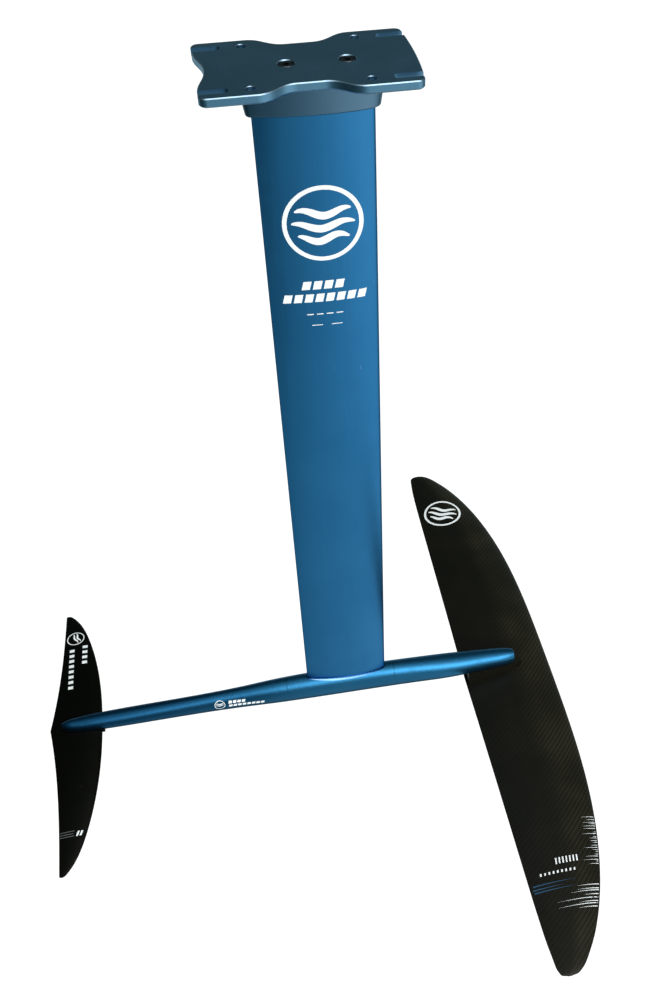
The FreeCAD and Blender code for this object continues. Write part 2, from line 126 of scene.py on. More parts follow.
# The node tree of one material, or of the world.
class Sheet:
    def __init__(self, tree):
        self.tree = tree
        self.tree.nodes.clear()

    def find(self, sockets, name):
        for socket in sockets:
            if socket.identifier == name:
                return socket
        return sockets[name]

    def feed(self, socket, value):
        if isinstance(value, Wire):
            self.tree.links.new(value.socket, socket)
            return
        if socket.type == "RGBA" and len(value) == 3:
            value = (*value, 1.0)
        socket.default_value = value

    def node(self, kind, settings=None, inputs=None):
        made = self.tree.nodes.new(kind)
        for key, value in (settings or {}).items():
            setattr(made, key, value)
        for key, value in (inputs or {}).items():
            self.feed(self.find(made.inputs, key), value)
        return made

    def wire(self, made, name):
        return Wire(self, self.find(made.outputs, name))

    def maths(self, operation, first, second=None):
        inputs = {"Value": first}
        if second is not None:
            inputs["Value_001"] = second
        return self.wire(self.node("ShaderNodeMath", {"operation": operation}, inputs), "Value")

    def vector(self, operation, first, second=None):
        inputs = {"Vector": first}
        if second is not None:
            inputs["Vector_001"] = second
        made = self.node("ShaderNodeVectorMath", {"operation": operation}, inputs)
        return self.wire(made, "Value" if operation == "DOT_PRODUCT" else "Vector")

    def join(self, x, y, z):
        return self.wire(self.node("ShaderNodeCombineXYZ", None, {"X": x, "Y": y, "Z": z}), "Vector")

    def split(self, vector):
        made = self.node("ShaderNodeSeparateXYZ", None, {"Vector": vector})
        return [self.wire(made, axis) for axis in "XYZ"]

    def mix(self, factor, first, second):
        made = self.node(
            "ShaderNodeMix",
            {"data_type": "RGBA"},
            {"Factor_Float": factor, "A_Color": first, "B_Color": second},
        )
        return self.wire(made, "Result_Color")

    def noise(self, vector, scale, detail=2.0, rough=0.5):
        made = self.node(
            "ShaderNodeTexNoise",
            None,
            {"Vector": vector, "Scale": scale, "Detail": detail, "Roughness": rough},
        )
        return self.wire(made, "Fac")

    def cells(self, vector, scale, feature="F1"):
        made = self.node(
            "ShaderNodeTexVoronoi", {"feature": feature}, {"Vector": vector, "Scale": scale}
        )
        return self.wire(made, "Distance")

    def place(self):
        return self.wire(self.node("ShaderNodeTexCoord"), "Object")

    def facing(self):
        return self.split(self.wire(self.node("ShaderNodeNewGeometry"), "Normal"))

    def bump(self, height, distance, strength=1.0):
        made = self.node(
            "ShaderNodeBump",
            None,
            {"Height": height, "Distance": distance, "Strength": strength},
        )
        return self.wire(made, "Normal")

    def surface(self, inputs):
        shader = self.node("ShaderNodeBsdfPrincipled", None, inputs)
        self.node("ShaderNodeOutputMaterial", None, {"Surface": self.wire(shader, "BSDF")})


def newMaterial(name):
    material = bpy.data.materials.new(name)
    material.use_nodes = True
    return material, Sheet(material.node_tree)


# Camera

cameraPlan = {
    "place": (-0.0989, -0.9300, 0.3671),
    "heading": 0.1731,
    "down": 0.7968,
    "roll": -0.0137,
    "lens": 38.60,
    "shift": (-0.0517, 0.0419),
}


def makeCamera(plan):
    data = bpy.data.cameras.new("camera")
    data.lens = plan["lens"]
    data.shift_x, data.shift_y = plan["shift"]
    data.clip_end = 30.0
    camera = bpy.data.objects.new("camera", data)
    bpy.context.collection.objects.link(camera)
    heading, down, roll = plan["heading"], plan["down"], plan["roll"]
    ahead = Vector(
        (math.sin(heading) * math.cos(down), math.cos(heading) * math.cos(down), -math.sin(down))
    )
    level = ahead.cross(Vector((0.0, 0.0, 1.0))).normalized()
    above = level.cross(ahead)
    right = level * math.cos(roll) + above * math.sin(roll)
    up = above * math.cos(roll) - level * math.sin(roll)
    turn = Matrix((right, up, -ahead)).transposed()
    camera.matrix_world = Matrix.Translation(Vector(plan["place"])) @ turn.to_4x4()
    bpy.context.scene.camera = camera


makeCamera(cameraPlan)
print("camera set")


# Studio: a white floor well below, and soft light that is brightest in front and to the right

studioPlan = {
    "floorDrop": 0.9,
    "floorSize": 30.0,
    "floorWhite": 1.03,
    "floorTones": ((0.10, 0.10, 0.10), (0.12, 0.12, 0.12)),
    "backdrop": (1.0, 1.0, 1.0),
    "shade": (0.62, 0.98, 1.0),
    "ambient": 0.070,
    "tilt": 0.6,
    "shadeTo": 1.2,
    "steep": (0.40, 0.80),
    "steepLevel": 0.60,
    "horizon": (-0.35, 0.25),
    "frontLight": 0.90,
    "frontFrom": -0.40,
    "frontTo": 0.42,
    "frontArc": (0.02, 0.42),
    "bandToward": (0.27, -0.67, 0.69),
    "bandLight": 5.2,
    "bandSharpness": 11.0,
    "evenness": 0.75,
    "zenith": 0.75,
    "zenithArc": (0.80, 1.0),
    "backLight": 0.55,
    "backArc": (0.10, 0.60),
}
studioLights = {
    "sky_light": {"place": (0.3, -0.4, 2.2), "target": (0.0, 0.0, -0.6), "size": 2.4, "power": 38.0},
    "side_light": {"place": (1.6, -2.0, 0.2), "target": (0.0, 0.0, -0.5), "size": 1.8, "power": 16.0},
}


def makeFloor(plan):
    half = plan["floorSize"] / 2
    low = startBounds[0].z - plan["floorDrop"]
    mesh = bpy.data.meshes.new("floor")
    corners = [(-half, -half, low), (half, -half, low), (half, half, low), (-half, half, low)]
    mesh.from_pydata(corners, [], [(0, 1, 2, 3)])
    floor = bpy.data.objects.new("floor", mesh)
    bpy.context.collection.objects.link(floor)
    material, sheet = newMaterial("floor_white")
    fleck = sheet.noise(sheet.place(), 3.0)
    sheet.surface(
        {
            "Base Color": sheet.mix(fleck, *plan["floorTones"]),
            "Roughness": 0.9,
            "Specular IOR Level": 0.0,
            "Emission Color": plan["backdrop"],
            "Emission Strength": plan["floorWhite"],
        }
    )
    mesh.materials.append(material)
    floor.visible_glossy = False


def makeWorld(plan):
    world = bpy.data.worlds.new("studio")
    world.use_nodes = True
    bpy.context.scene.world = world
    sheet = Sheet(world.node_tree)
    direction = sheet.wire(sheet.node("ShaderNodeTexCoord"), "Generated")
    x, y, z = sheet.split(direction)
    toward = Vector(plan["bandToward"]).normalized()
    steep = (-z).eased(*plan["steep"]) * plan["evenness"]
    across = x.eased(plan["frontFrom"], plan["frontTo"])
    sideways = across * (1.0 - steep) + plan["steepLevel"] * steep
    low = (-z).eased(*plan["horizon"])
    front = (-y).eased(*plan["frontArc"]) * low * sideways * plan["frontLight"]
    back = y.eased(*plan["backArc"]) * low * plan["backLight"]
    lobe = sheet.vector("DOT_PRODUCT", direction, tuple(toward)).atLeast(0.0)
    band = lobe ** plan["bandSharpness"] * plan["bandLight"]
    overhead = z.eased(*plan["zenithArc"]) * plan["zenith"]
    total = front + back + band + overhead + plan["ambient"] * (1.0 + plan["tilt"] * x)
    shade = sheet.mix(total.eased(0.0, plan["shadeTo"]), plan["shade"], plan["backdrop"])
    lit = sheet.node("ShaderNodeBackground", None, {"Color": shade, "Strength": total})
    white = sheet.node("ShaderNodeBackground", None, {"Color": plan["backdrop"], "Strength": 1.0})
    seen = sheet.wire(sheet.node("ShaderNodeLightPath"), "Is Camera Ray")
    chosen = sheet.node(
        "ShaderNodeMixShader",
        None,
        {
            "Fac": seen,
            "Shader": sheet.wire(lit, "Background"),
            "Shader_001": sheet.wire(white, "Background"),
        },
    )
    sheet.node("ShaderNodeOutputWorld", None, {"Surface": sheet.wire(chosen, "Shader")})


def makeLight(name, place, target, size, power):
    data = bpy.data.lights.new(name, "AREA")
    data.size = size
    data.energy = power
    light = bpy.data.objects.new(name, data)
    bpy.context.collection.objects.link(light)
    aim = (Vector(target) - Vector(place)).to_track_quat("-Z", "Y")
    light.matrix_world = Matrix.Translation(Vector(place)) @ aim.to_matrix().to_4x4()
    light.visible_camera = False
    light.visible_glossy = False


makeFloor(studioPlan)
makeWorld(studioPlan)
for name, plan in studioLights.items():
    makeLight(name, **plan)
bpy.context.scene.view_settings.view_transform = "Standard"
print("studio lit")


# Anodised aluminium

plateLook = {
    "deep": (0.125, 0.280, 0.420),
    "pale": (0.165, 0.345, 0.500),
    "bare": (0.520, 0.660, 0.780),
    "rough": 0.38,
    "grain": (1.0, 1.0, 1.0),
    "edge": 0.60,
}
collarLook = {
    "deep": (0.062, 0.155, 0.255),
    "pale": (0.100, 0.215, 0.330),
    "bare": (0.300, 0.460, 0.620),
    "rough": 0.40,
    "grain": (1.0, 1.0, 0.2),
    "edge": 0.40,
    # The span and the two shares below paint light on the collar's front and shade on its rear.
    "wearAndLight": (-0.045, 0.060),
    "rearShade": 0.35,
    "frontHighlight": 0.38,
}
mastLook = {
    "deep": (0.033, 0.215, 0.480),
    "pale": (0.044, 0.250, 0.530),
    "bare": (0.300, 0.560, 0.850),
    "rough": 0.34,
    "grain": (1.0, 1.0, 0.02),
    "edge": 0.0,
}
fuselageLook = {
    "deep": (0.022, 0.150, 0.300),
    "pale": (0.034, 0.190, 0.370),
    "bare": (0.350, 0.640, 0.900),
    "rough": 0.35,
    "grain": (0.03, 1.0, 1.0),
    "edge": 0.0,
    # The foot keys paint a highlight round the mast's foot.
    "footAt": 0.0053,
    "footHalf": (0.0550, 0.0108),
    "footHighlightTone": (0.30, 0.58, 0.86),
    "footEdge": (0.92, 1.10),
    "footFloor": -0.870,
    "footHighlightShare": 0.9,
    "footDull": 0.8,
    # The line keys paint shade in the two seam grooves.
    "lines": (-0.080, 0.073),
    "seamShadeTone": (0.004, 0.030, 0.070),
    "lineHalf": 0.0006,
    "seamShadeShare": 0.40,
    # The fade keys paint shade towards the tail.
    "fade": (-0.02, 0.28),
    "tailShadeTone": (0.010, 0.072, 0.165),
    "tailShadeShare": 0.75,
}


# Grain and wear that the four anodised finishes share. Scales are in features per metre.
metalWear = {
    "streak": 700.0,
    "cloud": 9.0,
    "blast": 2600.0,
    "smear": 34.0,
    "scratch": 420.0,
    "scratchRun": (1.0, 1.0, 0.08),
    "scratchPatch": 60.0,
    "scratchTone": 0.35,
    "dust": 260.0,
    "dustSize": 0.045,
    "dustPatch": 21.0,
    "dustTone": 0.25,
    "relief": 0.00001,
    "reliefShare": 0.5,
}


# The collar is painted brighter towards its front as a painted highlight, and deeper towards its rear
# as painted shade.
def addPaintedFrontLight(sheet, x, tone, plan):
    side = x.eased(*plan["wearAndLight"])
    rearShaded = sheet.mix(plan["rearShade"] - plan["rearShade"] * side, tone, (0.0, 0.0, 0.0))
    return sheet.mix(plan["frontHighlight"] * side, rearShaded, plan["bare"])


# How far a spot belongs to the painted highlight round the mast's foot: 1 on it, 0 away from it.
def paintedFootHighlight(x, y, z, plan):
    long, wide = plan["footHalf"]
    reach = ((x - plan["footAt"]) / long) ** 2.0 + (y / wide) ** 2.0
    return (1.0 - reach.eased(*plan["footEdge"])) * (z > plan["footFloor"])


def makeAnodised(name, plan, wear):
    material, sheet = newMaterial(name)
    spot = sheet.place()
    x, y, z = sheet.split(spot)
    along = sheet.vector("MULTIPLY", spot, plan["grain"])
    streak = sheet.noise(along, wear["streak"], 3.0, 0.6)
    cloud = sheet.noise(spot, wear["cloud"], 4.0, 0.55)
    blast = sheet.noise(spot, wear["blast"], 1.0)
    smear = sheet.noise(spot, wear["smear"], 5.0, 0.62).eased(0.52, 0.72)
    scratch = sheet.noise(sheet.vector("MULTIPLY", spot, wear["scratchRun"]), wear["scratch"], 1.0)
    scratchPatch = sheet.noise(spot, wear["scratchPatch"], 2.0).eased(0.60, 0.70)
    mark = scratch.eased(0.70, 0.76) * scratchPatch
    dustPatch = sheet.noise(spot, wear["dustPatch"]).eased(0.50, 0.62)
    dust = (sheet.cells(spot, wear["dust"]) < wear["dustSize"]) * dustPatch
    faceX, faceY, faceZ = sheet.facing()
    slope = abs(faceZ)
    # Sloped bevel faces are painted toward bare metal: partly bare machined chamfers, partly a
    # painted highlight.
    rim = slope.eased(0.22, 0.42) * (1.0 - slope.eased(0.86, 0.97)) * plan["edge"]
    tone = sheet.mix((cloud * 0.7 + streak * 0.3).eased(0.25, 0.75), plan["deep"], plan["pale"])
    wearAndHighlight = rim + mark * wear["scratchTone"] + dust * wear["dustTone"]
    tone = sheet.mix(wearAndHighlight.atMost(1.0), tone, plan["bare"])
    metal = 1.0 - dust * 0.6
    # Painted light: the collar's front painted paler and its rear painted darker.
    if "wearAndLight" in plan:
        tone = addPaintedFrontLight(sheet, x, tone, plan)
    if "footAt" in plan:
        # Painted shade: the fuselage is painted darker towards its tail.
        tailShade = (-x).eased(*plan["fade"]) * plan["tailShadeShare"]
        tone = sheet.mix(tailShade, tone, plan["tailShadeTone"])
        # Painted highlight: a pale, less metallic crescent round the mast's foot.
        footHighlight = paintedFootHighlight(x, y, z, plan)
        tone = sheet.mix(footHighlight * plan["footHighlightShare"], tone, plan["footHighlightTone"])
        metal = metal - footHighlight * plan["footDull"]
        # Painted shade: thin darker lines across the upward faces at the two seam grooves.
        for line in plan["lines"]:
            seamShade = (abs(x - line) < plan["lineHalf"]) * faceZ.eased(0.15, 0.75)
            tone = sheet.mix(seamShade * plan["seamShadeShare"], tone, plan["seamShadeTone"])
    rough = plan["rough"] + (streak - 0.5) * 0.10 + smear * 0.05 - rim * 0.08 + (blast - 0.5) * 0.05
    height = streak * 0.5 + blast * 0.5 - mark * 0.8
    sheet.surface(
        {
            "Base Color": tone,
            "Metallic": metal,
            "Roughness": rough,
            "Normal": sheet.bump(height, wear["relief"], wear["reliefShare"]),
        }
    )
    return material


# Carbon cloth under a satin or a glossy lacquer

frontCarbon = {
    "dark": (0.0012, 0.0012, 0.0004),
    "light": (0.0240, 0.0215, 0.0130),
    "sheen": (1.0, 0.93, 0.78),
    "tow": 0.0019,
    "rough": 0.42,
    "gloss": 0.22,
    "lacquer": 0.07,
    "lacquerRough": 0.36,
    "relief": 0.00006,
}
rearCarbon = {
    "dark": (0.0003, 0.0003, 0.0001),
    "light": (0.0026, 0.0024, 0.0012),
    "sheen": (1.0, 0.95, 0.80),
    "tow": 0.0011,
    "rough": 0.34,
    "gloss": 0.12,
    "lacquer": 0.06,
    "lacquerRough": 0.18,
    "relief": 0.00003,
}


# Weave and wear that both wings share. Scales are in features per metre.
clothWear = {
    "wander": 7.0,
    "wanderTows": 1.6,
    "weavePeriod": 4.0,
    "overShare": 1.5,
    "fibreAcross": 9.0,
    "fibreAlong": 0.35,
    "fibreUp": 60.0,
    "cloud": 14.0,
    "haze": 48.0,
    "swirl": 520.0,
    "swirlRun": (0.15, 1.0, 1.0),
    "scuffPatch": 30.0,
    "dust": 210.0,
    "dustSize": 0.05,
    "dustPatch": 17.0,
    "patch": 16.0,
    "wornTone": (0.20, 0.21, 0.22),
    "reliefShare": 0.7,
}


def makeCarbon(name, plan, wear):
    material, sheet = newMaterial(name)
    spot = sheet.place()
    x, y, z = sheet.split(spot)
    wander = (sheet.noise(spot, wear["wander"]) - 0.5) * wear["wanderTows"]
    u = x / plan["tow"] + wander
    v = (y + z) / plan["tow"] - wander
    over = ((u.floored() - v.floored()) % wear["weavePeriod"]) < wear["overShare"]
    crownU = 1.0 - ((u % 1.0) * 2.0 - 1.0) ** 2.0
    crownV = 1.0 - ((v % 1.0) * 2.0 - 1.0) ** 2.0
    fine, slow = wear["fibreAcross"], wear["fibreAlong"]
    lift = z * wear["fibreUp"]
    fibreU = sheet.noise(sheet.join(u * fine, v * slow, lift), 1.0, 2.0, 0.6)
    fibreV = sheet.noise(sheet.join(u * slow, v * fine, lift), 1.0, 2.0, 0.6)
    crown = over * crownU + (1.0 - over) * crownV
    fibre = over * fibreU + (1.0 - over) * fibreV
    cloud = sheet.noise(spot, wear["cloud"], 4.0, 0.6)
    haze = sheet.noise(spot, wear["haze"], 5.0, 0.65).eased(0.50, 0.74)
    swirl = sheet.noise(sheet.vector("MULTIPLY", spot, wear["swirlRun"]), wear["swirl"], 2.0)
    scuff = swirl.eased(0.68, 0.75) * sheet.noise(spot, wear["scuffPatch"]).eased(0.56, 0.68)
    dustPatch = sheet.noise(spot, wear["dustPatch"]).eased(0.50, 0.60)
    dust = (sheet.cells(spot, wear["dust"]) < wear["dustSize"]) * dustPatch
    faceX, faceY, faceZ = sheet.facing()
    # Painted sheen: the weave is painted lighter on forward-facing faces and in random patches, and
    # painted darker on steep faces.
    glint = 0.25 + 0.75 * faceX.eased(-0.06, 0.10)
    paintedSideShade = 0.25 + 0.75 * abs(faceZ).eased(0.30, 0.80)
    patch = 0.50 + 0.50 * sheet.noise(spot, wear["patch"], 3.0, 0.5).eased(0.35, 0.70)
    tows = (0.30 + 0.70 * over) * (0.45 + 0.55 * crown) * (0.60 + fibre * 0.8)
    weaveAndSheen = glint * paintedSideShade * patch * tows
    tone = sheet.mix(weaveAndSheen + (cloud - 0.5) * 0.06 * glint, plan["dark"], plan["light"])
    tone = sheet.mix((scuff * 0.04 + dust * 0.08).atMost(1.0), tone, wear["wornTone"])
    rough = plan["rough"] + (1.0 - over) * 0.07 + haze * 0.06 + (cloud - 0.5) * 0.08 + scuff * 0.10
    sheet.surface(
        {
            "Base Color": tone,
            "Roughness": rough,
            "Specular IOR Level": plan["gloss"],
            "Specular Tint": plan["sheen"],
            "Coat Weight": plan["lacquer"] - haze * 0.05,
            "Coat Roughness": plan["lacquerRough"],
            "Normal": sheet.bump(crown * 0.8 + fibre * 0.3, plan["relief"], wear["reliefShare"]),
        }
    )
    return material


# Fasteners, threaded inserts, bushes and core foam

screwLook = {
    "deep": (0.018, 0.018, 0.020),
    "pale": (0.060, 0.060, 0.064),
    "bare": (0.30, 0.30, 0.31),
    "rough": 0.36,
}
insertLook = {
    "deep": (0.42, 0.43, 0.44),
    "pale": (0.58, 0.59, 0.60),
    "bare": (0.80, 0.80, 0.80),
    "rough": 0.28,
}
bushLook = {
    "deep": (0.50, 0.51, 0.53),
    "pale": (0.68, 0.69, 0.71),
    "bare": (0.85, 0.86, 0.87),
    "rough": 0.30,
}
foamLook = {"deep": (0.62, 0.60, 0.53), "pale": (0.78, 0.76, 0.68), "cell": 900.0}


def makeTurned(name, plan):
    material, sheet = newMaterial(name)
    spot = sheet.place()
    turned = sheet.noise(sheet.vector("MULTIPLY", spot, (0.12, 0.12, 1.0)), 2400.0, 2.0)
    cloud = sheet.noise(spot, 90.0, 4.0, 0.6)
    pit = sheet.noise(spot, 1800.0, 3.0, 0.7).eased(0.60, 0.75)
    faceX, faceY, faceZ = sheet.facing()
    slope = abs(faceZ)
    rim = slope.eased(0.30, 0.50) * (1.0 - slope.eased(0.80, 0.95))
    tone = sheet.mix((cloud * 0.6 + turned * 0.4).eased(0.3, 0.7), plan["deep"], plan["pale"])
    tone = sheet.mix(rim * 0.5, tone, plan["bare"])
    sheet.surface(
        {
            "Base Color": tone,
            "Metallic": 1.0,
            "Roughness": plan["rough"] + (turned - 0.5) * 0.14 + pit * 0.12,
            "Normal": sheet.bump(turned - pit * 0.6, 0.00002, 0.6),
        }
    )
    return material


def makeFoam(name, plan):
    material, sheet = newMaterial(name)
    spot = sheet.place()
    cell = sheet.cells(spot, plan["cell"])
    cloud = sheet.noise(spot, 30.0, 4.0, 0.6)
    tone = sheet.mix((cell * 0.8 + cloud * 0.5).eased(0.2, 0.9), plan["deep"], plan["pale"])
    sheet.surface(
        {
            "Base Color": tone,
            "Roughness": 0.82 + (cloud - 0.5) * 0.2,
            "Normal": sheet.bump(cell, 0.0003, 0.7),
        }
    )
    return material


plateMetal = makeAnodised("plate_anodised", plateLook, metalWear)
collarMetal = makeAnodised("collar_anodised", collarLook, metalWear)
mastMetal = makeAnodised("mast_anodised", mastLook, metalWear)
fuselageMetal = makeAnodised("fuselage_anodised", fuselageLook, metalWear)
clothFront = makeCarbon("carbon_satin", frontCarbon, clothWear)
clothRear = makeCarbon("carbon_lacquered", rearCarbon, clothWear)
screwSteel = makeTurned("screw_black", screwLook)
insertSteel = makeTurned("insert_steel", insertLook)
bushMetal = makeTurned("bush_aluminium", bushLook)
coreFoam = makeFoam("core_foam", foamLook)

finishes = {
    "top_plate": plateMetal,
    "mast_collar": collarMetal,
    "mast": mastMetal,
    "mast_top_plugs": bushMetal,
    "mast_foot_plugs": bushMetal,
    "fuselage": fuselageMetal,
    "front_wing_upper_skin": clothFront,
    "front_wing_lower_skin": clothFront,
    "rear_wing_upper_skin": clothRear,
    "rear_wing_lower_skin": clothRear,
}


def finishOf(name):
    if name in finishes:
        return finishes[name]
    if name.endswith("screws"):
        return screwSteel
    if name.endswith("bushes"):
        return bushMetal
    if name.endswith("core"):
        return coreFoam
    return insertSteel


for name, piece in nodes.items():
    for place in piece.material_slots:
        place.material = finishOf(name)
print("metal and carbon finishes given to", len(nodes), "nodes")


# Printed marks: thin films of ink that follow the surface under them

inkLook = {
    "white": (0.82, 0.86, 0.86),
    "grey": (0.11, 0.115, 0.115),
    "blue": (0.010, 0.058, 0.120),
    "rough": 0.42,
}


def makeInk(name, colour, plan):
    material, sheet = newMaterial(name)
    spot = sheet.place()
    cloud = sheet.noise(spot, 40.0, 4.0, 0.6)
    pin = sheet.noise(spot, 1500.0, 2.0)
    wearAndLight = sheet.noise(spot, 220.0, 4.0, 0.7).eased(0.66, 0.80)
    tone = sheet.mix(cloud * 0.35 + wearAndLight * 0.25, colour, tuple(part * 0.72 for part in colour))
    sheet.surface(
        {
            "Base Color": tone,
            "Roughness": plan["rough"] + (pin - 0.5) * 0.12 + wearAndLight * 0.15,
            "Normal": sheet.bump(pin, 0.00001, 0.5),
        }
    )
    return material


whiteInk = makeInk("ink_white", inkLook["white"], inkLook)
greyInk = makeInk("ink_grey", inkLook["grey"], inkLook)
blueInk = makeInk("ink_blue", inkLook["blue"], inkLook)
trees = {}


def hostTree(name):
    if name not in trees:
        mesh = nodes[name].data
        corners = [vertex.co for vertex in mesh.vertices]
        faces = [tuple(face.vertices) for face in mesh.polygons]
        trees[name] = BVHTree.FromPolygons(corners, faces)
    return trees[name]


# The three ways a mark is looked at, each as its directions across, up and into the surface.
views = {
    "starboard": (Vector((1, 0, 0)), Vector((0, 0, 1)), Vector((0, 1, 0))),
    "port": (Vector((-1, 0, 0)), Vector((0, 0, 1)), Vector((0, -1, 0))),
    "top": (Vector((1, 0, 0)), Vector((0, 1, 0)), Vector((0, 0, -1))),
}
filmLift = 0.00009
filmThickness = 0.00006
standBack = 0.2


def layOn(name, shape, host, view, centre, ink):
    across, up, into = views[view]
    tree = hostTree(host)
    lost = []
    for corner in shape.verts:
        start = Vector(centre) + across * corner.co.x + up * corner.co.y - into * standBack
        hit, normal, index, distance = tree.ray_cast(start, into)
        if hit is None:
            lost.append(corner)
            continue
        if normal.dot(into) > 0:
            normal = -normal
        corner.co = hit + normal * filmLift
    bmesh.ops.delete(shape, geom=lost, context="VERTS")
    bmesh.ops.recalc_face_normals(shape, faces=shape.faces[:])
    turned = [face for face in shape.faces if face.normal.dot(into) > 0]
    bmesh.ops.reverse_faces(shape, faces=turned)
    bmesh.ops.solidify(shape, geom=shape.faces[:], thickness=filmThickness)
    mesh = bpy.data.meshes.new(name)
    shape.to_mesh(mesh)
    shape.free()
    mesh.materials.clear()
    mesh.materials.append(ink)
    piece = bpy.data.objects.new(name, mesh)
    bpy.context.collection.objects.link(piece)
    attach(piece, body)


def addRibbon(shape, path, width, closed=False, columns=2):
    count = len(path)
    rows = []
    for index, (u, v) in enumerate(path):
        before = path[(index - 1) % count] if closed or index else path[index]
        after = path[(index + 1) % count] if closed or index < count - 1 else path[index]
        run = Vector((after[0] - before[0], after[1] - before[1])).normalized()
        half = width(index / (count - 1)) / 2
        row = []
        for column in range(columns + 1):
            shift = half * (2 * column / columns - 1)
            row.append(shape.verts.new((u - run.y * shift, v + run.x * shift, 0.0)))
        rows.append(row)
    if closed:
        rows.append(rows[0])
    for first, second in zip(rows, rows[1:]):
        for left in range(columns):
            shape.faces.new((first[left], first[left + 1], second[left + 1], second[left]))


# Shares of the roundel's radius, and the shape of its swells
roundelPlan = {
    "ring": 0.11,
    "ringSteps": 96,
    "clear": 1.9,
    "top": 0.30,
    "drop": 0.34,
    "margin": 0.09,
    "height": 0.085,
    "waves": 1.25,
    "start": 0.6,
    "lag": 0.5,
    "thin": 0.03,
    "thick": 0.17,
    "fullness": 0.6,
    "swellSteps": 40,
}


# A ring with swells inside it, worked out in millimetres about its centre and given in metres.
def makeRoundel(radius, swells, turn=0.0, plan=roundelPlan):
    shape = bmesh.new()
    ring = radius * plan["ring"]
    steps = plan["ringSteps"]
    middle = radius - ring / 2
    circle = [
        (middle * math.cos(math.tau * step / steps), middle * math.sin(math.tau * step / steps))
        for step in range(steps)
    ]
    addRibbon(shape, circle, lambda share: ring, closed=True)
    inner = radius - ring * plan["clear"]

    def swellWidth(share):
        return radius * (plan["thin"] + plan["thick"] * math.sin(math.pi * share) ** plan["fullness"])

    for order in range(swells):
        level = radius * (plan["top"] - plan["drop"] * order)
        reach = math.sqrt(max(inner ** 2 - (abs(level) + radius * plan["margin"]) ** 2, 0.0))
        path = []
        for step in range(plan["swellSteps"] + 1):
            share = step / plan["swellSteps"]
            wave = math.sin(math.tau * share * plan["waves"] + plan["start"] + order * plan["lag"])
            path.append((reach * (2 * share - 1), level + radius * plan["height"] * wave))
        addRibbon(shape, path, swellWidth)
    bmesh.ops.scale(shape, vec=(0.001, 0.001, 0.001), verts=shape.verts)
    bmesh.ops.rotate(shape, matrix=Matrix.Rotation(turn, 3, "Z"), verts=shape.verts)
    return shape


# Rows of dashes and streaks are one node group; each row is the same mark repeated at a pitch.
def makeRowTree():
    tree = bpy.data.node_groups.new("mark_row", "GeometryNodeTree")
    inputs = [
        ("Count", "NodeSocketInt"),
        ("Pitch", "NodeSocketVector"),
        ("Length", "NodeSocketFloat"),
        ("Height", "NodeSocketFloat"),
        ("Slant", "NodeSocketFloat"),
        ("Taper", "NodeSocketFloat"),
        ("Shortest", "NodeSocketFloat"),
        ("Drift", "NodeSocketFloat"),
        ("Seed", "NodeSocketInt"),
        ("Ink", "NodeSocketMaterial"),
    ]
    for label, kind in inputs:
        tree.interface.new_socket(label, in_out="INPUT", socket_type=kind)
    tree.interface.new_socket("Geometry", in_out="OUTPUT", socket_type="NodeSocketGeometry")
    sheet = Sheet(tree)
    given = sheet.node("NodeGroupInput")
    line = sheet.node(
        "GeometryNodeMeshLine",
        None,
        {"Count": sheet.wire(given, "Count"), "Offset": sheet.wire(given, "Pitch")},
    )
    grid = sheet.node(
        "GeometryNodeMeshGrid",
        None,
        {"Size X": 1.0, "Size Y": 1.0, "Vertices X": 13, "Vertices Y": 3},
    )
    x, y, z = sheet.split(sheet.wire(sheet.node("GeometryNodeInputPosition"), "Position"))
    along = x + 0.5
    height = sheet.wire(given, "Height")
    thin = 1.0 - along * sheet.wire(given, "Taper")
    shaped = sheet.join(
        along * sheet.wire(given, "Length") + y * sheet.wire(given, "Slant") * height,
        y * height * thin,
        0.0,
    )
    mark = sheet.node(
        "GeometryNodeSetPosition",
        None,
        {"Geometry": sheet.wire(grid, "Mesh"), "Position": shaped},
    )
    reach = sheet.node(
        "FunctionNodeRandomValue",
        {"data_type": "FLOAT"},
        {"Min_001": sheet.wire(given, "Shortest"), "Max_001": 1.0, "Seed": sheet.wire(given, "Seed")},
    )
    drift = sheet.node(
        "FunctionNodeRandomValue",
        {"data_type": "FLOAT"},
        {
            "Min_001": -sheet.wire(given, "Drift"),
            "Max_001": sheet.wire(given, "Drift"),
            "Seed": sheet.wire(given, "Seed") + 5.0,
        },
    )
    moved = sheet.node(
        "GeometryNodeSetPosition",
        None,
        {
            "Geometry": sheet.wire(line, "Mesh"),
            "Offset": sheet.join(0.0, sheet.wire(drift, "Value_001"), 0.0),
        },
    )
    placed = sheet.node(
        "GeometryNodeInstanceOnPoints",
        None,
        {
            "Points": sheet.wire(moved, "Geometry"),
            "Instance": sheet.wire(mark, "Geometry"),
            "Scale": sheet.join(sheet.wire(reach, "Value_001"), 1.0, 1.0),
        },
    )
    real = sheet.node(
        "GeometryNodeRealizeInstances", None, {"Geometry": sheet.wire(placed, "Instances")}
    )
    inked = sheet.node(
        "GeometryNodeSetMaterial",
        None,
        {"Geometry": sheet.wire(real, "Geometry"), "Material": sheet.wire(given, "Ink")},
    )
    sheet.node("NodeGroupOutput", None, {"Geometry": sheet.wire(inked, "Geometry")})
    return tree


rowTree = makeRowTree()


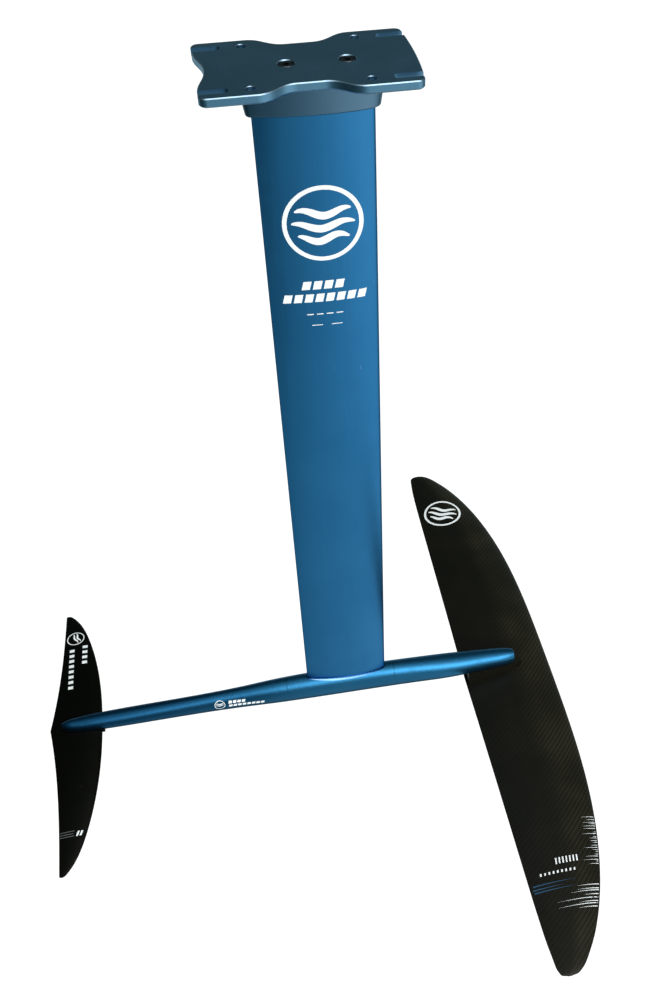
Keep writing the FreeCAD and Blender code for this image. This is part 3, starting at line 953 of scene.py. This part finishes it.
def makeRow(plan, ink):
    mesh = bpy.data.meshes.new("row")
    carrier = bpy.data.objects.new("row", mesh)
    bpy.context.collection.objects.link(carrier)
    modifier = carrier.modifiers.new("row", "NODES")
    modifier.node_group = rowTree
    values = {**plan, "Ink": ink}
    for socket in rowTree.interface.items_tree:
        if socket.in_out == "INPUT" and socket.name in values:
            modifier[socket.identifier] = values[socket.name]
    bpy.context.view_layer.update()
    graph = bpy.context.evaluated_depsgraph_get()
    plain = bpy.data.meshes.new_from_object(carrier.evaluated_get(graph))
    shape = bmesh.new()
    shape.from_mesh(plain)
    bpy.data.objects.remove(carrier)
    bpy.data.meshes.remove(plain)
    return shape


def row(count, pitch, length, height, slant=0.25, taper=0.0, shortest=1.0, drift=0.0, seed=1):
    return {
        "Count": count,
        "Pitch": pitch,
        "Length": length,
        "Height": height,
        "Slant": slant,
        "Taper": taper,
        "Shortest": shortest,
        "Drift": drift,
        "Seed": seed,
    }


mastMarks = {
    "ringCentre": (0.0075, 0.0, -0.1485),
    "ringRadius": 39.0,
    "swells": 3,
    "rows": ("shortRow", "longRow", "fineRow", "lowRow"),
    "shortRow": row(4, (0.0110, 0.0, 0.0), 0.0082, 0.0092),
    "shortRowAt": (-0.0165, 0.0, -0.2145),
    "longRow": row(8, (0.0107, 0.0, 0.0), 0.0080, 0.0092),
    "longRowAt": (-0.0360, 0.0, -0.2290),
    "fineRow": row(4, (0.0100, 0.0, 0.0), 0.0068, 0.0011, 0.0),
    "fineRowAt": (-0.0140, 0.0, -0.2480),
    "lowRow": row(2, (0.0200, 0.0, 0.0), 0.0110, 0.0008, 0.0),
    "lowRowAt": (-0.0095, 0.0, -0.2610),
}


# A roundel and its rows of dashes, on both sides of a piece. A row to port starts at its far end.
def markBothSides(host, plan):
    for side in ("starboard", "port"):
        roundel = makeRoundel(plan["ringRadius"], plan["swells"])
        layOn(f"{host}_roundel_{side}", roundel, host, side, plan["ringCentre"], whiteInk)
        for part in plan["rows"]:
            values = plan[part]
            start = Vector(plan[part + "At"])
            if side == "port":
                start.x += values["Pitch"][0] * (values["Count"] - 1) + values["Length"]
            shape = makeRow(values, whiteInk)
            layOn(f"{host}_{part}_{side}", shape, host, side, start, whiteInk)


markBothSides("mast", mastMarks)
print("mast marks printed")

fuselageMarks = {
    "ringCentre": (-0.1765, 0.0, -0.8690),
    "ringRadius": 7.4,
    "swells": 2,
    "rows": ("upperRow", "lowerRow"),
    "upperRow": row(4, (0.0062, 0.0, 0.0), 0.0046, 0.0042),
    "upperRowAt": (-0.1640, 0.0, -0.8655),
    "lowerRow": row(8, (0.0064, 0.0, 0.0), 0.0048, 0.0042),
    "lowerRowAt": (-0.1640, 0.0, -0.8720),
}

markBothSides("fuselage", fuselageMarks)
print("fuselage marks printed")

# Height at which the marks on both wings are looked down on
wingLevel = -0.85

frontMarks = {
    "ringCentre": (0.2235, 0.3410),
    "ringRadius": 31.0,
    "ringTurn": -0.35,
    "swells": 3,
    "codeRow": row(7, (0.0046, 0.0, 0.0), 0.0018, 0.0082, 0.15),
    "codeRowAt": (0.2250, -0.3120),
    "nameRow": row(9, (0.0055, 0.0, 0.0), 0.0022, 0.0034, 0.2),
    "nameRowAt": (0.2010, -0.3260),
    "blueLines": row(3, (0.0, 0.0042, 0.0), 0.0640, 0.0020, 0.0, 0.97, 0.66, 0.0003, 4),
    "blueLinesAt": (0.1835, -0.3470),
    "streaks": row(21, (0.0, 0.0032, 0.0), -0.0220, 0.0008, 0.0, 1.0, 0.15, 0.0012, 9),
    "streaksFrom": -0.3230,
    "longStreaks": row(8, (0.0, 0.0038, 0.0), -0.0600, 0.0011, 0.0, 1.0, 0.22, 0.0010, 23),
    "longStreaksFrom": -0.3760,
    "streakInset": 0.0022,
}


edgeSearch = {"steps": 14, "past": 0.001, "above": 0.05}


# The furthest forward point of a wing at a given place along its span, found by halving.
def leadingEdge(tree, low, high, y, plan=edgeSearch):
    inside, outside = (low[0] + high[0]) / 2, high[0] + plan["past"]
    for step in range(plan["steps"]):
        middle = (inside + outside) / 2
        above = Vector((middle, y, high[2] + plan["above"]))
        found = tree.ray_cast(above, Vector((0, 0, -1)))[0]
        if found is None:
            outside = middle
        else:
            inside = middle
    return inside


# Moves each streak of a row so that its thick end starts at the leading edge.
def startAtEdge(shape, host, fromY, inset):
    low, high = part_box(host)
    for corner in shape.verts:
        corner.co.x += leadingEdge(hostTree(host), low, high, fromY + corner.co.y) - inset


# A mark on a wing's upper face, at a place given by x and y.
def layOnTop(name, shape, host, place, ink):
    layOn(name, shape, host, "top", (*place, wingLevel), ink)


def markFrontWing(plan):
    host, slotName = "front_wing_upper_skin", "carbon"
    roundel = makeRoundel(plan["ringRadius"], plan["swells"], plan["ringTurn"])
    layOnTop("front_wing_roundel", roundel, host, plan["ringCentre"], whiteInk)
    for part, ink in (("codeRow", whiteInk), ("nameRow", whiteInk), ("blueLines", blueInk)):
        shape = makeRow(plan[part], ink)
        layOnTop(f"front_wing_{part}", shape, host, plan[part + "At"], ink)
    for part in ("streaks", "longStreaks"):
        startY = plan[part + "From"]
        shape = makeRow(plan[part], whiteInk)
        startAtEdge(shape, host, startY, plan["streakInset"])
        layOnTop(f"front_wing_{part}", shape, host, (0.0, startY), whiteInk)


markFrontWing(frontMarks)
print("front wing marks printed")

rearMarks = {
    "ringCentre": (-0.3830, 0.1680),
    "ringRadius": 13.0,
    "ringTurn": -1.2,
    "swells": 2,
    "shortRow": row(4, (0.0, -0.0105, 0.0), 0.0072, 0.0054, 0.0),
    "shortRowAt": (-0.3720, 0.1480),
    "longRow": row(8, (0.0, -0.0103, 0.0), 0.0072, 0.0054, 0.0),
    "longRowAt": (-0.3910, 0.1430),
    "tipMark": row(2, (0.0045, 0.0, 0.0), 0.0026, 0.0066, 0.4),
    "tipMarkAt": (-0.3760, -0.1645),
    "tipLines": row(3, (0.0, -0.0036, 0.0), 0.0200, 0.0008, 0.0, 0.0, 0.6, 0.0002, 3),
    "tipLinesAt": (-0.3980, -0.1600),
}


def markRearWing(plan):
    host, slotName = "rear_wing_upper_skin", "carbon_gloss"
    roundel = makeRoundel(plan["ringRadius"], plan["swells"], plan["ringTurn"])
    layOnTop("rear_wing_roundel", roundel, host, plan["ringCentre"], whiteInk)
    inks = {"shortRow": whiteInk, "longRow": whiteInk, "tipMark": whiteInk, "tipLines": greyInk}
    for part, ink in inks.items():
        shape = makeRow(plan[part], ink)
        layOnTop(f"rear_wing_{part}", shape, host, plan[part + "At"], ink)


markRearWing(rearMarks)
print("rear wing marks printed")
